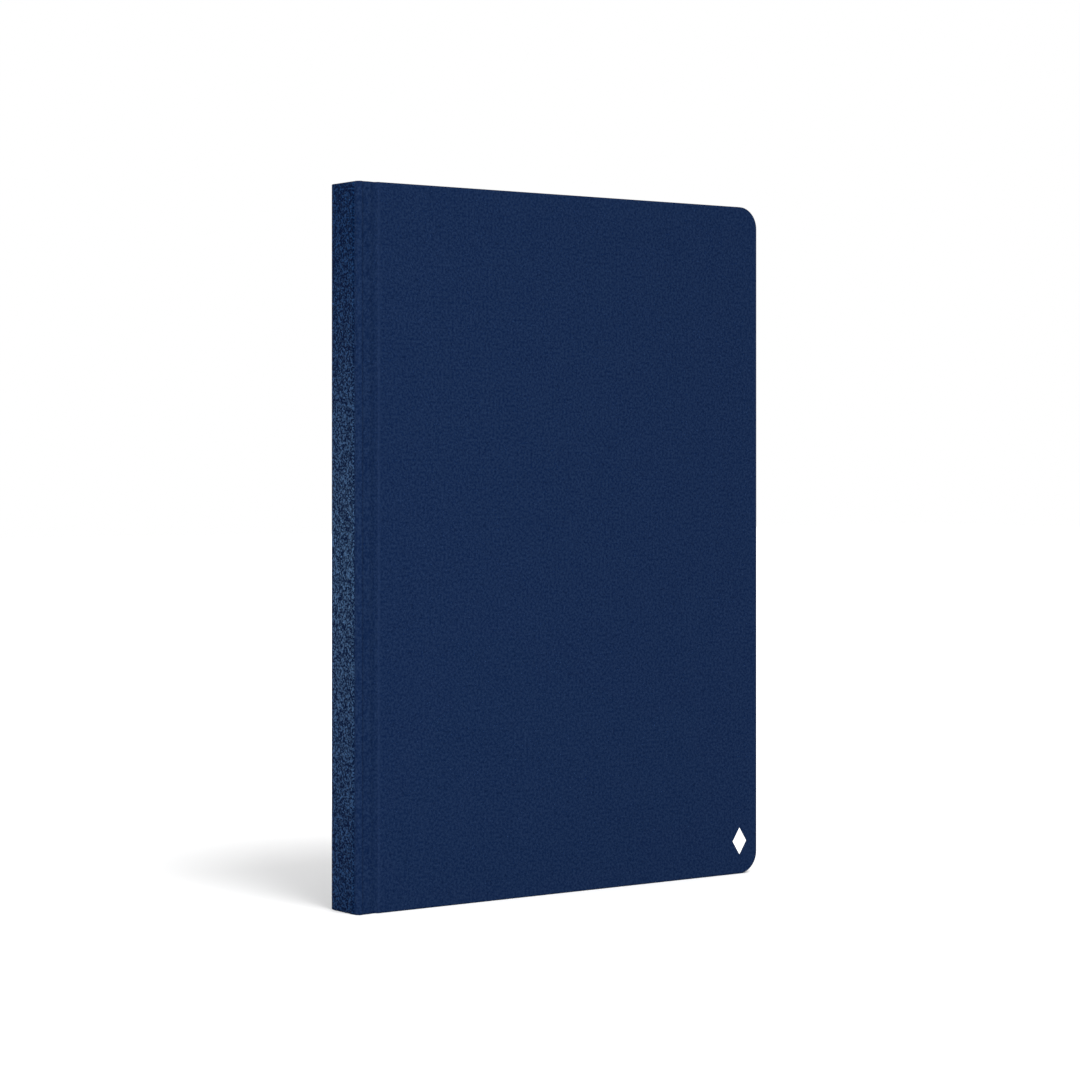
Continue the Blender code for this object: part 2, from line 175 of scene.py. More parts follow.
# Stage, light and camera. The camera's place is in book heights from the near shoulder.
FLOOR_SIZE, FLOOR_GAP, FLOOR_MOTTLE = 4.0, 0.05 * MM, 0.4
WORLD_STRENGTH = 0.87
KEY_FROM, KEY_SOFTNESS, KEY_STRENGTH = (0.06, -0.61, 0.79), 34, 2.1
FILL_PLACE, FILL_SIZE, FILL_WATTS = (-0.60, -0.48, 0.08), 0.2, 3.9
CAMERA_TURN, CAMERA_LENS, CAMERA_SHIFT = 36.267, 95.356, -0.069
CAMERA_BACK, CAMERA_ASIDE, CAMERA_UP = 3.8897, 0.24802, 0.6122


def smooth(value, low, high):
    """0 below low, 1 above high, with a smooth rise between them."""
    share = min(1.0, max(0.0, (value - low) / (high - low)))
    return share * share * (3 - 2 * share)


def bell(value, centre, width):
    """1 at the centre, falling away smoothly on both sides."""
    return math.exp(-(((value - centre) / width) ** 2))


def spread(low, high, count):
    """Evenly spaced numbers from low to high."""
    return [low + (high - low) * i / (count - 1) for i in range(count)]


# ---------------------------------------------------------------- mesh helpers


def new_object(name, shape, material, smooth_angle=40):
    """A bmesh as a shaded object that remembers where its points were at rest."""
    bmesh.ops.remove_doubles(shape, verts=shape.verts, dist=0.0005 * MM)
    bmesh.ops.recalc_face_normals(shape, faces=shape.faces)
    mesh = bpy.data.meshes.new(name)
    shape.to_mesh(mesh)
    shape.free()
    obj = bpy.data.objects.new(name, mesh)
    bpy.context.scene.collection.objects.link(obj)
    mesh.materials.append(material)
    shade(mesh, smooth_angle)
    remember_rest(mesh)
    return obj


def shade(mesh, angle):
    """Smooth shading, with sharp edges where faces meet at more than this angle."""
    mesh.shade_smooth()
    mesh.set_sharp_from_angle(angle=math.radians(angle))


def remember_rest(mesh):
    """Materials read this attribute, so that a pattern stays on the surface when the book opens."""
    rest = mesh.attributes.get("rest") or mesh.attributes.new("rest", "FLOAT_VECTOR", "POINT")
    for item, vertex in zip(rest.data, mesh.vertices):
        item.vector = vertex.co


def apply_modifiers(obj):
    """Make an object's modifiers part of its mesh."""
    graph = bpy.context.evaluated_depsgraph_get()
    mesh = bpy.data.meshes.new_from_object(obj.evaluated_get(graph), depsgraph=graph)
    obj.modifiers.clear()
    obj.data = mesh
    return mesh


def quad_strip(shape, first, second, closed=False):
    """Faces between two rows of points of the same length."""
    count = len(first) if closed else len(first) - 1
    for i in range(count):
        j = (i + 1) % len(first)
        corners = [first[i], first[j], second[j], second[i]]
        if len({tuple(v.co) for v in corners}) > 2:
            shape.faces.new(corners)


def close_tube(shape, rings):
    """A closed body through rings of points, with a face at both ends."""
    for first, second in zip(rings, rings[1:]):
        quad_strip(shape, first, second, closed=True)
    shape.faces.new(rings[0])
    shape.faces.new(rings[-1])


# ---------------------------------------------------------------- covering cloth


def cloth_stations(side_name):
    """The outside of half the case in plan, from the middle of the spine to the fore-edge.

    Each station is (x, distance from the middle plane, inward direction, thickness of the turned edge).
    """
    stations = []
    shoulder = SHOULDER_RADIUS[side_name]
    crease_depth = CREASE_DEPTH if side_name == "front" else 0.0
    crease = spread(CREASE_START, FACE_Y - shoulder - BEFORE_SHOULDER, CREASE_POINTS)
    for across in spread(0, CREASE_APPROACH, FLAT_POINTS) + crease:
        x = SPINE_X + crease_depth * bell(across, CREASE_AT, CREASE_WIDTH)
        thinning = smooth(across, *SPINE_THINNING)
        stations.append((x, across, (1, 0), SPINE_EDGE + (JOINT_EDGE - SPINE_EDGE) * thinning))
    centre_x, centre_across = SPINE_X + shoulder, FACE_Y - shoulder
    for angle in spread(0, math.pi / 2, SHOULDER_POINTS):
        away = (-math.cos(angle), math.sin(angle))
        x = centre_x + shoulder * away[0]
        across = centre_across + shoulder * away[1] - face_depth(x) * math.sin(angle)
        stations.append((x, across, (-away[0], -away[1]), JOINT_EDGE))
    joint = spread(centre_x + AFTER_SHOULDER, JOINT_POINTS_END, JOINT_POINTS)
    board = spread(BOARD_POINTS_START, FORE_X - COVER_CORNER, BOARD_POINTS)
    for x in joint + board:
        rise = smooth(x, *EDGE_THICKENING)
        fallen = face_depth(x)
        edge = JOINT_EDGE + (BOARD_EDGE - fallen - JOINT_EDGE) * rise
        stations.append((x, FACE_Y - fallen, (0, -1), edge))
    return stations


def face_depth(x):
    """How far the cloth lies below the board's face: down to a strip, down again, and up to the board."""
    fallen = STRIP_DEPTH * smooth(x, *STRIP_FALL) + JOINT_DEPTH * smooth(x, *JOINT_FALL)
    return fallen * (1 - smooth(x, *BOARD_RISE))


def cloth_columns(side_name):
    """Stations with their border: (station, border x, border height, outward direction, edge radius)."""
    columns = []
    for station in cloth_stations(side_name):
        radius = min(EDGE_RADIUS, THIN_EDGE_SHARE * station[3])
        columns.append((station, station[0], HEAD_Z - radius, (0, 1), radius))
    centre_x, centre_z = FORE_X - COVER_CORNER, HEAD_Z - COVER_CORNER
    radius = COVER_CORNER - EDGE_RADIUS
    for angle in spread(0, math.pi / 2, CORNER_POINTS)[1:]:
        away = (math.sin(angle), math.cos(angle))
        station = (centre_x + radius * away[0], FACE_Y, (0, -1), BOARD_EDGE)
        columns.append((station, station[0], centre_z + radius * away[1], away, EDGE_RADIUS))
    return columns


def row_heights(low, high):
    """Rows from one border to the other, close together near the borders."""
    middle = spread(low + BORDER_ROWS[-1], high - BORDER_ROWS[-1], MIDDLE_ROWS)[1:-1]
    return [low + m for m in BORDER_ROWS] + middle + [high - m for m in reversed(BORDER_ROWS)]


def wrapped_edge(radius, thickness):
    """The turned edge in section: (distance outwards from the face's border, depth below the face)."""
    angles = spread(0, math.pi / 2, EDGE_ARC_STEPS + 1)
    profile = [(radius * math.sin(a), radius * (1 - math.cos(a))) for a in angles[1:]]
    profile.append((radius, thickness / 2))
    profile += [(radius * math.cos(a), thickness - radius * (1 - math.sin(a))) for a in angles]
    profile.append((-TURN_IN_LEAD, thickness))
    return profile


def build_case_cloth(side_name, side, material):
    """One sheet from the middle of the spine over the joint and the board, with its edges turned in."""
    shape = bmesh.new()
    columns = cloth_columns(side_name)

    def point(station, x, z, depth):
        """A point at some depth below the outside of the cloth at a station."""
        _, across, inward, _ = station
        return shape.verts.new((x + inward[0] * depth, side * (across + inward[1] * depth), z))

    grid = []
    for station, x, border_z, _, _ in columns:
        heights = row_heights(TAIL_Z + HEAD_Z - border_z, border_z)
        grid.append([point(station, x, z, 0) for z in heights])
    for first, second in zip(grid, grid[1:]):
        quad_strip(shape, first, second)

    border = [(column, row[0], -1) for column, row in zip(columns, grid)]
    border += [(columns[-1], vertex, 0) for vertex in grid[-1][1:-1]]
    border += [(column, row[-1], 1) for column, row in reversed(list(zip(columns, grid)))]
    rings = [[vertex for _, vertex, _ in border]]
    for step in range(len(wrapped_edge(1, 1))):
        ring = []
        for (station, x, _, away, radius), vertex, up in border:
            out, depth = wrapped_edge(radius, station[3])[step]
            z = vertex.co.z + away[1] * out * up
            ring.append(point(station, x + away[0] * out, z, depth))
        rings.append(ring)
    ends = []
    for (station, x, _, _, _), vertex, _ in border:
        end_x = min(x, FORE_X - TURN_IN)
        end_z = min(HEAD_Z - TURN_IN, max(TAIL_Z + TURN_IN, vertex.co.z))
        ends.append(point(station, end_x, end_z, station[3]))
    rings.append(ends)
    for first, second in zip(rings, rings[1:]):
        quad_strip(shape, first, second)

    cloth = new_object(f"case_cloth_{side_name}", shape, material)
    body = cloth.modifiers.new("thickness", "SOLIDIFY")
    body.thickness = CLOTH_THICKNESS
    body.offset = -1
    body.use_even_offset = True
    apply_modifiers(cloth)
    return cloth


def cut_mark_recess(cloth):
    """A shallow pocket that the foil mark lies in."""
    low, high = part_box("cover_mark")
    centre_x, centre_z = (low.x + high.x) / 2, (low.z + high.z) / 2
    half_x = (high.x - low.x) / 2 + MARK_CLEARANCE
    half_z = (high.z - low.z) / 2 + MARK_CLEARANCE
    outline = [(0, half_z), (-half_x, 0), (0, -half_z), (half_x, 0)]
    shape = bmesh.new()
    bottom, top = (
        [shape.verts.new((centre_x + dx, y, centre_z + dz)) for dx, dz in outline]
        for y in (MARK_RECESS - FACE_Y, -FACE_Y - MM)
    )
    quad_strip(shape, bottom, top, closed=True)
    shape.faces.new(bottom)
    shape.faces.new(top)
    cutter = new_object("mark_cutter", shape, cloth.data.materials[0])
    cut = cloth.modifiers.new("recess", "BOOLEAN")
    cut.operation = "DIFFERENCE"
    cut.solver = "EXACT"
    cut.object = cutter
    apply_modifiers(cloth)
    bpy.data.objects.remove(cutter, do_unlink=True)


def give_spine_face(mesh, pebble):
    """The outside of the spine, from the back shoulder to the front crease, has a coarser pressed grain."""
    mesh.materials.append(pebble)
    for face in mesh.polygons:
        centre = face.center
        on_spine = centre.x < SPINE_FACE_END and face.normal.x < SPINE_FACE_TILT
        if on_spine and centre.y > -CREASE_AT:
            face.material_index = 1


def add_case_cloth(side_name, side, material, pebble):
    """Half of the case's cloth, which takes the place of the CAD cloth pieces."""
    cloth = build_case_cloth(side_name, side, material)
    replaced = [f"{side_name}_cover_cloth", f"{side_name}_hinge_cloth"]
    if side_name == "front":
        cut_mark_recess(cloth)
        replaced.append("spine_cloth")
    shade(cloth.data, 40)
    remember_rest(cloth.data)
    give_spine_face(cloth.data, pebble)
    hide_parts(*replaced)
    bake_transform(cloth)


# ---------------------------------------------------------------- paper


def leaf_reach(x, fore_x, corner):
    """How far a leaf's rounded corner takes its head down at x."""
    past = x - (fore_x - corner)
    if past <= 0:
        return 0.0
    return corner - math.sqrt(max(0.0, corner * corner - past * past))


def corner_stations(fore_x, corner, steps=7):
    """Places along X where a rounded corner needs points."""
    return [fore_x - corner + corner * math.sin(a) for a in spread(0, math.pi / 2, steps)]


def add_ribbon(shape, path, thickness, fore_x, corner, low, high):
    """A closed strip of paper along a path in plan of (x, y, normal x, normal y)."""
    rows = []
    for x, y, nx, ny in path:
        reach = leaf_reach(x, fore_x, corner)
        half = thickness / 2
        rows.append(
            [
                shape.verts.new((x + s * nx * half, y + s * ny * half, z))
                for s, z in ((-1, low + reach), (1, low + reach), (1, high - reach), (-1, high - reach))
            ]
        )
    close_tube(shape, rows)


def leaf_places(start, fore_x, corner):
    """Places along X from near the fold to the fore-edge, close together where the leaf bends."""
    bending = spread(start, LEAF_BEND_END, 18)
    flat = spread(LEAF_FLAT_START, fore_x - corner - 4 * MM, 8)
    return bending + flat + corner_stations(fore_x, corner)


def build_section(number, material):
    """Folded sheets inside one another, each with a leaf on both sides of the fold."""
    low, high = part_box(f"section_{number}")
    middle = (low.y + high.y) / 2
    pitch = (high.y - low.y) / LEAVES_IN_SECTION
    dice = random.Random(SEED + number)
    shape = bmesh.new()
    for sheet in range(LEAVES_IN_SECTION // 2):
        fold_radius = pitch * (sheet + 0.5)
        fold_x = FOLD_X + FOLD_CENTRE_INSET
        fore_x = LEAF_FORE_X - dice.uniform(0, 0.06) * MM
        tail, head = LEAF_TAIL_Z + dice.uniform(0, 0.05) * MM, LEAF_HEAD_Z - dice.uniform(0, 0.05) * MM
        places = leaf_places(fold_x, fore_x, LEAF_CORNER)
        path = [(x, middle - fold_radius, 0, -1) for x in reversed(places)]
        for angle in spread(math.pi, 0, 7)[1:-1]:
            away = (-math.sin(angle), math.cos(angle))
            path.append((fold_x + fold_radius * away[0], middle + fold_radius * away[1], *away))
        path += [(x, middle + fold_radius, 0, 1) for x in places]
        add_ribbon(shape, path, LEAF_THICKNESS, fore_x, LEAF_CORNER, tail, head)
    return new_object(f"section_{number}_leaves", shape, material)


def add_section(number, material):
    """A section's leaves, in place of its CAD solid."""
    leaves = build_section(number, material)
    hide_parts(f"section_{number}")
    blend_leaf(leaves)


def blend_leaf(obj):
    """Bake the leaf's place into its mesh."""
    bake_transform(obj)


def add_flyleaf(side_name, material):
    """The free half of an endpaper, as one leaf."""
    body = f"{side_name}_flyleaf"
    low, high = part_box(body)
    middle = (low.y + high.y) / 2
    shape = bmesh.new()
    path = [(x, middle, 0, 1) for x in leaf_places(FOLD_X, LEAF_FORE_X, LEAF_CORNER)]
    add_ribbon(shape, path, ENDPAPER_THICKNESS, LEAF_FORE_X, LEAF_CORNER, LEAF_TAIL_Z, LEAF_HEAD_Z)
    sheet = new_object(f"{body}_sheet", shape, material)
    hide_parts(body)
    blend_leaf(sheet)


def pastedown_face(x, z):
    """Distance of the glued endpaper's visible face from the middle plane. It sinks inside the turn-ins."""
    inside = min(FORE_X - TURN_IN - x, z - TAIL_Z - TURN_IN, HEAD_Z - TURN_IN - z)
    sunk = smooth(inside, *SINK_FROM_TURN_IN) * smooth(x, *SINK_FROM_JOINT)
    curl = smooth(-x, -(FOLD_X + FOLD_CURL_LENGTH), -FOLD_X)
    return PASTEDOWN_INSIDE + PASTE_LIFT + TURN_IN_STEP * sunk - FOLD_CURL * curl


def endpaper_places():
    """Places along X of the glued endpaper, close together at the joint and over the turn-in's rim."""
    rim_x = FORE_X - TURN_IN
    joint = spread(FOLD_X, BOARD_X + 0.2 * MM, 18)
    board_edge = spread(BOARD_X + 0.8 * MM, BOARD_X + 3 * MM, 7)
    flat = spread(BOARD_X + 10 * MM, rim_x - 6 * MM, 14)
    rim = spread(rim_x - 1.8 * MM, rim_x + 0.6 * MM, 10)
    return joint + board_edge + flat + rim + corner_stations(PASTEDOWN_FORE_X, LEAF_CORNER, 9)


def endpaper_heights(x):
    """Heights of its points at x, close together over the turn-ins' rims."""
    reach = leaf_reach(x, PASTEDOWN_FORE_X, LEAF_CORNER)
    low, high = LEAF_TAIL_Z + reach, LEAF_HEAD_Z - reach
    rim = spread(TURN_IN - 0.6 * MM, TURN_IN + 1.8 * MM, 10)
    flat = spread(TAIL_Z + 25 * MM, HEAD_Z - 25 * MM, 16)
    tail_rim, head_rim = [TAIL_Z + r for r in rim], [HEAD_Z - r for r in reversed(rim)]
    return [low, low + MM] + tail_rim + flat + head_rim + [high - MM, high]


def add_endpaper(side_name, side, material):
    """The glued half of an endpaper, with the strip that crosses the joint to the first leaf's fold."""
    shape = bmesh.new()
    grid = []
    for x in endpaper_places():
        column = [(x, side * pastedown_face(x, z), z) for z in endpaper_heights(x)]
        grid.append([shape.verts.new(place) for place in column])
    for first, second in zip(grid, grid[1:]):
        quad_strip(shape, first, second)
    paper = new_object(f"{side_name}_endpaper", shape, material)
    body = paper.modifiers.new("thickness", "SOLIDIFY")
    body.thickness = ENDPAPER_THICKNESS
    body.offset = 0
    apply_modifiers(paper)
    lift = ENDPAPER_THICKNESS / 2
    for vertex in paper.data.vertices:
        vertex.co.y += side * lift
    shade(paper.data, 40)
    remember_rest(paper.data)
    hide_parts(f"{side_name}_pastedown", f"{side_name}_endpaper_joint")
    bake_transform(paper)


# ---------------------------------------------------------------- bands


def band_cord(shape, centre_x, centre_z, half):
    """A round cord along Y, with a ridge for each wrap of thread and rounded ends."""
    rings = []
    count = int(round(2 * half / BAND_WRAP)) * RINGS_IN_WRAP
    angles = [2 * math.pi * k / BAND_SIDES for k in range(BAND_SIDES)]
    for i in range(count + 1):
        y = -half + 2 * half * i / count
        wrap = abs(math.sin(math.pi * (y + half) / BAND_WRAP)) ** 0.6
        past = max(0.0, (abs(y) - half + BAND_END) / BAND_END)
        cap = math.sqrt(max(SMALLEST_CAP, 1 - past**2))
        radius = (BAND_RADIUS - BAND_THREAD + BAND_THREAD * wrap) * cap
        ring = [(centre_x + radius * math.cos(a), y, centre_z + radius * math.sin(a)) for a in angles]
        rings.append([shape.verts.new(p) for p in ring])
    close_tube(shape, rings)


def band_tab(shape, tab_x, tab_z, half):
    """The flat tab that is glued down the folds."""
    corners = [(tab_x[0], tab_z[0]), (tab_x[1], tab_z[0]), (tab_x[1], tab_z[1]), (tab_x[0], tab_z[1])]
    places = spread(-half + BAND_TAB_INSET, half - BAND_TAB_INSET, 12)
    close_tube(shape, [[shape.verts.new((x, y, z)) for x, z in corners] for y in places])


def add_band(name, material):
    """A cord wound with thread, on its tab."""
    low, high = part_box(name)
    at_head = high.z > (TAIL_Z + HEAD_Z) / 2
    centre_x = high.x - BAND_RADIUS
    centre_z = high.z - BAND_RADIUS if at_head else low.z + BAND_RADIUS
    shape = bmesh.new()
    band_cord(shape, centre_x, centre_z, high.y)
    tab_z = (low.z, centre_z) if at_head else (centre_z, high.z)
    band_tab(shape, (low.x, low.x + BAND_TAB_THICKNESS), tab_z, high.y)
    band = new_object(f"{name}_roll", shape, material, smooth_angle=60)
    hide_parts(name)
    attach(band, "spine")


# ---------------------------------------------------------------- materials


def node(tree, kind, inputs=None, **settings):
    """A node with its settings, and its inputs as values or as links from other nodes' sockets."""
    made = tree.nodes.new("ShaderNode" + kind)
    for key, value in settings.items():
        setattr(made, key, value)
    for key, value in (inputs or {}).items():
        if isinstance(value, bpy.types.NodeSocket):
            tree.links.new(value, made.inputs[key])
        else:
            made.inputs[key].default_value = value
    return made


def maths(tree, operation, first, second=0.0, clamp=False):
    """One step of arithmetic on sockets or numbers."""
    return node(tree, "Math", {0: first, 1: second}, operation=operation, use_clamp=clamp).outputs[0]


def remap(tree, value, low, high, to_low=0.0, to_high=1.0, kind="SMOOTHSTEP"):
    """A value's range from low to high taken to another range."""
    inputs = {"Value": value, "From Min": low, "From Max": high, "To Min": to_low, "To Max": to_high}
    return node(tree, "MapRange", inputs, interpolation_type=kind).outputs[0]


def mix(tree, share, first, second):
    """The first colour where the share is 0, the second where it is 1."""
    made = node(tree, "Mix", {0: share, 6: first, 7: second}, data_type="RGBA")
    return made.outputs[2]


def noise(tree, where, size, detail=2.0, roughness=0.5):
    """Noise whose features are about size metres across."""
    inputs = {"Vector": where, "Scale": 1 / size, "Detail": detail, "Roughness": roughness}
    return node(tree, "TexNoise", inputs).outputs["Fac"]


def wave(tree, where, size, distortion, direction):
    """Even ridges, such as twisted or woven threads."""
    inputs = {"Vector": where, "Scale": 1 / size, "Distortion": distortion}
    return node(tree, "TexWave", inputs, bands_direction=direction).outputs["Fac"]


def colour(rgb, strength=1.0):
    """A colour for a socket, made lighter or darker by its strength."""
    return (*(c * strength for c in rgb), 1.0)


def new_material(name, **constants):
    """A material's tree and shader, with the values that are the same all over."""
    material = bpy.data.materials.new(name)
    material.use_nodes = True
    tree = material.node_tree
    shader = tree.nodes["Principled BSDF"]
    for key, value in constants.items():
        shader.inputs[key.replace("_", " ")].default_value = value
    return material, tree, shader


def finish_material(tree, shader, base, roughness, height, depth, strength=1.0):
    """Link colour and roughness to the shader, with a bump of some depth from the height."""
    tree.links.new(base, shader.inputs["Base Color"])
    tree.links.new(roughness, shader.inputs["Roughness"])
    bump = node(tree, "Bump", {"Height": height, "Distance": depth, "Strength": strength})
    tree.links.new(bump.outputs["Normal"], shader.inputs["Normal"])


def rest_position(tree):
    """Where a point of a made piece was at rest."""
    return node(tree, "Attribute", attribute_name="rest").outputs["Vector"]


def object_position(tree):
    """Where a point of a rigid CAD node is in its own object."""
    return node(tree, "TexCoord").outputs["Object"]


def cloth_material():
    """Navy book cloth with a fine matte grain of small dark pits."""
    material, tree, shader = new_material("navy_book_cloth", Specular_IOR_Level=0.02)
    where = rest_position(tree)
    grain = remap(tree, noise(tree, where, CLOTH_GRAIN, 3.0, 0.7), 0.36, 0.64)
    cloud = noise(tree, where, CLOTH_CLOUD, 3.0, 0.6)
    pits = remap(tree, noise(tree, where, CLOTH_PIT, 2.0, 0.5), 0.40, 0.28, 0.0, 0.6)
    tone = maths(tree, "ADD", maths(tree, "MULTIPLY", grain, 0.8), maths(tree, "MULTIPLY", cloud, 0.2))
    base = mix(tree, tone, colour(CLOTH_DARK), colour(CLOTH_LIGHT))
    base = mix(tree, pits, base, colour(CLOTH_DARK, 0.8))
    # Painted highlight along the boards' edges at the joints
    base = mix(tree, painted_edge_highlight(tree, where), base, colour(EDGE_HIGHLIGHT_BLUE))
    roughness = maths(tree, "ADD", maths(tree, "MULTIPLY", grain, -0.12), 0.74)
    height = maths(tree, "SUBTRACT", grain, maths(tree, "MULTIPLY", pits, 0.5))
    finish_material(tree, shader, base, roughness, height, 0.05 * MM, 0.8)
    return material


def painted_edge_highlight(tree, where):
    """A painted highlight: a faint paler line along the boards' edges at the joints."""
    x = node(tree, "SeparateXYZ", {0: where}).outputs["X"]
    away = maths(tree, "ABSOLUTE", maths(tree, "SUBTRACT", x, EDGE_HIGHLIGHT_AT))
    return remap(tree, away, EDGE_HIGHLIGHT_WIDTH, 0.0, 0.0, EDGE_HIGHLIGHT_SHARE)


def pebble_material():
    """The same cloth on the spine, with a coarser pressed grain and a painted highlight that makes it paler
    halfway up.
    """
    material, tree, shader = new_material("navy_pebbled_cloth", Specular_IOR_Level=0.012)
    where = rest_position(tree)
    grain = remap(tree, noise(tree, where, PEBBLE, 2.5, 0.55), 0.42, 0.60)
    uneven = remap(tree, noise(tree, where, PEBBLE_PATCH, 2.0), 0.3, 0.7, 0.75, 1.0)
    height = maths(tree, "MULTIPLY", grain, uneven)
    # Painted highlight: the spine's colours turn paler towards the middle of its height
    z = node(tree, "SeparateXYZ", {0: where}).outputs["Z"]
    away = maths(tree, "ABSOLUTE", maths(tree, "SUBTRACT", z, SPINE_HIGHLIGHT_HEIGHT))
    spine_highlight = remap(tree, away, SPINE_HIGHLIGHT_REACH, 0.0)
    pit = mix(tree, spine_highlight, colour(PEBBLE_PIT), colour(LIT_PEBBLE_PIT))
    top = mix(tree, spine_highlight, colour(PEBBLE_TOP), colour(LIT_PEBBLE_TOP))
    base = mix(tree, height, pit, top)
    roughness = remap(tree, height, 0.1, 0.8, 0.65, 0.4)
    finish_material(tree, shader, base, roughness, height, 0.25 * MM, 1.0)
    return material


def paper_material(name, base_colour, ruled):
    """Uncoated paper with fibres. A ruled page has a plain grid of rows and columns with no lettering."""
    material, tree, shader = new_material(name, Specular_IOR_Level=0.3, Subsurface_Weight=0.0)
    where = rest_position(tree)
    fibre = noise(tree, where, PAPER_FIBRE, 5.0, 0.65)
    cloud = noise(tree, where, PAPER_CLOUD, 2.0)
    tone = maths(tree, "ADD", maths(tree, "MULTIPLY", fibre, 0.5), maths(tree, "MULTIPLY", cloud, 0.5))
    base = mix(tree, tone, colour(base_colour, 0.94), colour(base_colour, 1.04))
    if ruled:
        base = mix(tree, ruling(tree, where), base, colour(RULE_BLUE))
    roughness = remap(tree, fibre, 0.3, 0.7, 0.78, 0.9)
    finish_material(tree, shader, base, roughness, fibre, 0.02 * MM, 0.5)
    return material


def inside(tree, value, low, high):
    """1 where the value lies between low and high, otherwise 0."""
    above = maths(tree, "GREATER_THAN", value, low)
    return maths(tree, "MULTIPLY", above, maths(tree, "LESS_THAN", value, high))


def ruled_lines(tree, value, pitch):
    """1 on thin lines that repeat along the value."""
    shifted = maths(tree, "ADD", value, pitch / 3)
    return maths(tree, "LESS_THAN", maths(tree, "PINGPONG", shifted, pitch / 2), RULE_WIDTH / 2)


def ruling(tree, where):
    """Thin printed rules inside the page's margins."""
    parts = node(tree, "SeparateXYZ", {0: where})
    x, z = parts.outputs["X"], parts.outputs["Z"]
    lines = maths(tree, "MAXIMUM", ruled_lines(tree, z, ROW_PITCH), ruled_lines(tree, x, COLUMN_PITCH))
    within = maths(tree, "MULTIPLY", inside(tree, x, *RULED_X), inside(tree, z, *RULED_Z))
    return maths(tree, "MULTIPLY", maths(tree, "MULTIPLY", lines, within), RULE_SHARE)


def band_material():
    """Silky thread in two colours, wound in turn round the band's cord."""
    material, tree, shader = new_material("band_thread", Sheen_Weight=0.3, Specular_IOR_Level=0.4)
    where = rest_position(tree)
    parts = node(tree, "SeparateXYZ", {0: where})
    turn = maths(tree, "PINGPONG", parts.outputs["Y"], 2 * BAND_WRAP)
    stripe = maths(tree, "GREATER_THAN", turn, BAND_WRAP)
    twist = wave(tree, where, THREAD_TWIST, 0.6, "DIAGONAL")
    fibre = noise(tree, where, THREAD_FIBRE, 2.0)
    base = mix(tree, stripe, colour(BAND_WHITE), colour(BAND_NAVY))
    base = mix(tree, maths(tree, "MULTIPLY", fibre, 0.25), base, colour(BAND_GREY))
    roughness = remap(tree, twist, 0.0, 1.0, 0.5, 0.7)
    finish_material(tree, shader, base, roughness, maths(tree, "ADD", twist, fibre), 0.02 * MM, 0.6)
    return material


def board_material():
    """Grey chipboard: recycled fibres of several tones, rough where it is cut."""
    material, tree, shader = new_material("grey_board", Specular_IOR_Level=0.2)
    where = object_position(tree)
    fibre = noise(tree, where, BOARD_FIBRE, 6.0, 0.7)
    fleck = node(tree, "TexVoronoi", {"Vector": where, "Scale": 1 / FLECK_PITCH}).outputs["Distance"]
    base = mix(tree, fibre, colour(BOARD_DARK), colour(BOARD_LIGHT))
    base = mix(tree, remap(tree, fleck, 0.12, 0.05, 0.0, 0.6), base, colour(BOARD_FLECK))
    roughness = remap(tree, fibre, 0.3, 0.7, 0.85, 0.97)
    finish_material(tree, shader, base, roughness, fibre, 0.08 * MM, 0.8)
    return material


def kraft_material():
    """Brown lining paper with long fibres."""
    material, tree, shader = new_material("kraft_paper", Specular_IOR_Level=0.25)
    where = object_position(tree)
    stretched = node(tree, "Mapping", {"Vector": where, "Scale": KRAFT_STRETCH}).outputs[0]
    fibre = noise(tree, stretched, KRAFT_FIBRE, 5.0, 0.7)
    base = mix(tree, fibre, colour(KRAFT_DARK), colour(KRAFT_LIGHT))
    finish_material(tree, shader, base, remap(tree, fibre, 0.3, 0.7, 0.8, 0.92), fibre, 0.03 * MM)
    return material


def gauze_material():
    """Open plain-weave gauze, stiffened with size."""
    material, tree, shader = new_material("mull_gauze", Specular_IOR_Level=0.25)
    where = object_position(tree)
    weave = maths(tree, "MAXIMUM", *[wave(tree, where, GAUZE_PITCH, 0.4, axis) for axis in ("Y", "Z")])
    base = mix(tree, weave, colour(GAUZE_GAP), colour(GAUZE_THREAD))
    roughness = remap(tree, weave, 0.0, 1.0, 0.95, 0.8)
    finish_material(tree, shader, base, roughness, weave, 0.06 * MM)
    return material


def sewing_thread_material():
    """Waxed linen thread with a visible twist."""
    material, tree, shader = new_material("sewing_thread", Sheen_Weight=0.2, Specular_IOR_Level=0.45)
    where = object_position(tree)
    twist = wave(tree, where, LINEN_TWIST, 0.5, "DIAGONAL")
    base = mix(tree, twist, colour(LINEN_DARK), colour(LINEN_LIGHT))
    finish_material(tree, shader, base, remap(tree, twist, 0, 1, 0.6, 0.45), twist, 0.02 * MM)
    return material


def foil_material():
    """White pigment foil stamped on the grain of the cloth."""
    material, tree, shader = new_material("white_foil", Specular_IOR_Level=0.5)
    where = object_position(tree)
    grain = noise(tree, where, FOIL_GRAIN, 3.0, 0.6)
    base = mix(tree, grain, colour(FOIL_DARK), colour(FOIL_LIGHT))
    finish_material(tree, shader, base, remap(tree, grain, 0.3, 0.7, 0.38, 0.5), grain, 0.02 * MM, 0.5)
    return material


def give_material(material, *names):
    """A carried-over CAD node keeps its mesh and takes a better material."""
    for name in names:
        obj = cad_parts[name]
        obj.data.materials.clear()
        obj.data.materials.append(material)


# ---------------------------------------------------------------- stage, light and camera


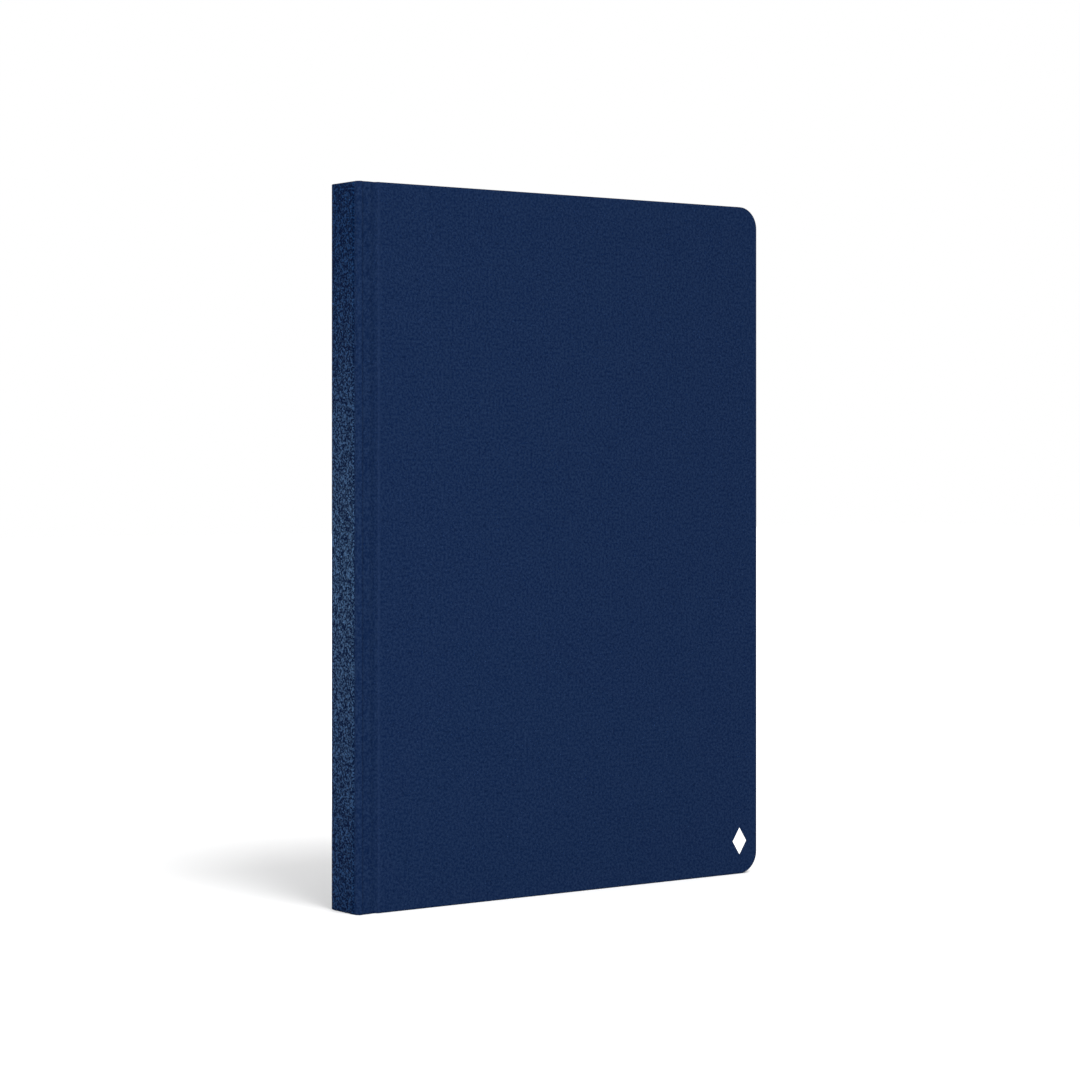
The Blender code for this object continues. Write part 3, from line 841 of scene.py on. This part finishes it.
def add_floor():
    """A wide white floor, which the soft shadow falls on."""
    shape = bmesh.new()
    bmesh.ops.create_grid(shape, x_segments=8, y_segments=8, size=FLOOR_SIZE)
    mesh = bpy.data.meshes.new("floor")
    shape.to_mesh(mesh)
    shape.free()
    floor = bpy.data.objects.new("floor", mesh)
    floor.location.z = TAIL_Z - FLOOR_GAP
    bpy.context.scene.collection.objects.link(floor)
    material, tree, shader = new_material("studio_white", Specular_IOR_Level=0.0, Roughness=1.0)
    mottle = noise(tree, object_position(tree), FLOOR_MOTTLE, 2.0)
    base = mix(tree, mottle, colour(FLOOR_DARK), colour(FLOOR_LIGHT))
    tree.links.new(base, shader.inputs["Base Color"])
    mesh.materials.append(material)


def add_light(name, place, target, size, watts):
    """A round soft light that faces a target."""
    light = bpy.data.lights.new(name, "AREA")
    light.shape = "DISK"
    light.size = size
    light.energy = watts
    obj = bpy.data.objects.new(name, light)
    obj.location = place
    obj.rotation_euler = (Vector(target) - Vector(place)).to_track_quat("-Z", "Y").to_euler()
    bpy.context.scene.collection.objects.link(obj)


def add_sun(name, direction, softness, strength):
    """An even light from one direction, so that the floor is as bright far away as near by."""
    light = bpy.data.lights.new(name, "SUN")
    light.angle = math.radians(softness)
    light.energy = strength
    obj = bpy.data.objects.new(name, light)
    obj.rotation_euler = Vector(direction).to_track_quat("Z", "Y").to_euler()
    bpy.context.scene.collection.objects.link(obj)


def add_studio_light():
    """White surroundings, a broad key from the front and a weaker fill from the left."""
    world = bpy.data.worlds.new("studio")
    world.use_nodes = True
    tree = world.node_tree
    seen = node(tree, "LightPath").outputs["Is Camera Ray"]
    strength = remap(tree, seen, 0.0, 1.0, WORLD_STRENGTH, 1.0, kind="LINEAR")
    tree.links.new(strength, tree.nodes["Background"].inputs["Strength"])
    tree.nodes["Background"].inputs["Color"].default_value = (1, 1, 1, 1)
    bpy.context.scene.world = world
    middle = (0, 0, (TAIL_Z + HEAD_Z) / 2)
    add_sun("key", KEY_FROM, KEY_SOFTNESS, KEY_STRENGTH)
    add_light("fill", FILL_PLACE, middle, FILL_SIZE, FILL_WATTS)


def add_camera():
    """The book is seen from its front left, a little above the middle, with the verticals kept upright."""
    turn = math.radians(CAMERA_TURN)
    right = Vector((math.cos(turn), -math.sin(turn), 0))
    forward = Vector((math.sin(turn), math.cos(turn), 0))
    height = HEAD_Z - TAIL_Z
    near_corner = Vector((SPINE_X, -FACE_Y, 0))
    camera = bpy.data.cameras.new("camera")
    camera.lens = CAMERA_LENS
    camera.sensor_width = 36
    camera.shift_y = CAMERA_SHIFT
    camera.clip_start = 0.01
    obj = bpy.data.objects.new("camera", camera)
    obj.location = near_corner - CAMERA_BACK * height * forward + CAMERA_ASIDE * height * right
    obj.location.z = CAMERA_UP * height
    obj.rotation_euler = (math.pi / 2, 0, -turn)
    bpy.context.scene.collection.objects.link(obj)
    bpy.context.scene.camera = obj


bpy.context.scene.view_settings.view_transform = "Standard"
add_camera()
add_studio_light()
add_floor()

book_cloth, spine_cloth = cloth_material(), pebble_material()
endpaper = paper_material("endpaper", ENDPAPER_CREAM, ruled=False)
page_paper = paper_material("page_paper", PAPER_WHITE, ruled=True)
for side_name, side in SIDES.items():
    add_case_cloth(side_name, side, book_cloth, spine_cloth)
    add_endpaper(side_name, side, endpaper)
    add_flyleaf(side_name, endpaper)
for number in range(1, SECTION_COUNT + 1):
    add_section(number, page_paper)
thread = band_material()
add_band("headband", thread)
add_band("tailband", thread)
give_material(board_material(), "front_board", "back_board", "spine_board")
give_material(kraft_material(), "spine_liner")
give_material(gauze_material(), "mull")
give_material(sewing_thread_material(), *[f"sewing_chain_{i}" for i in range(1, 5)])
give_material(foil_material(), "cover_mark")
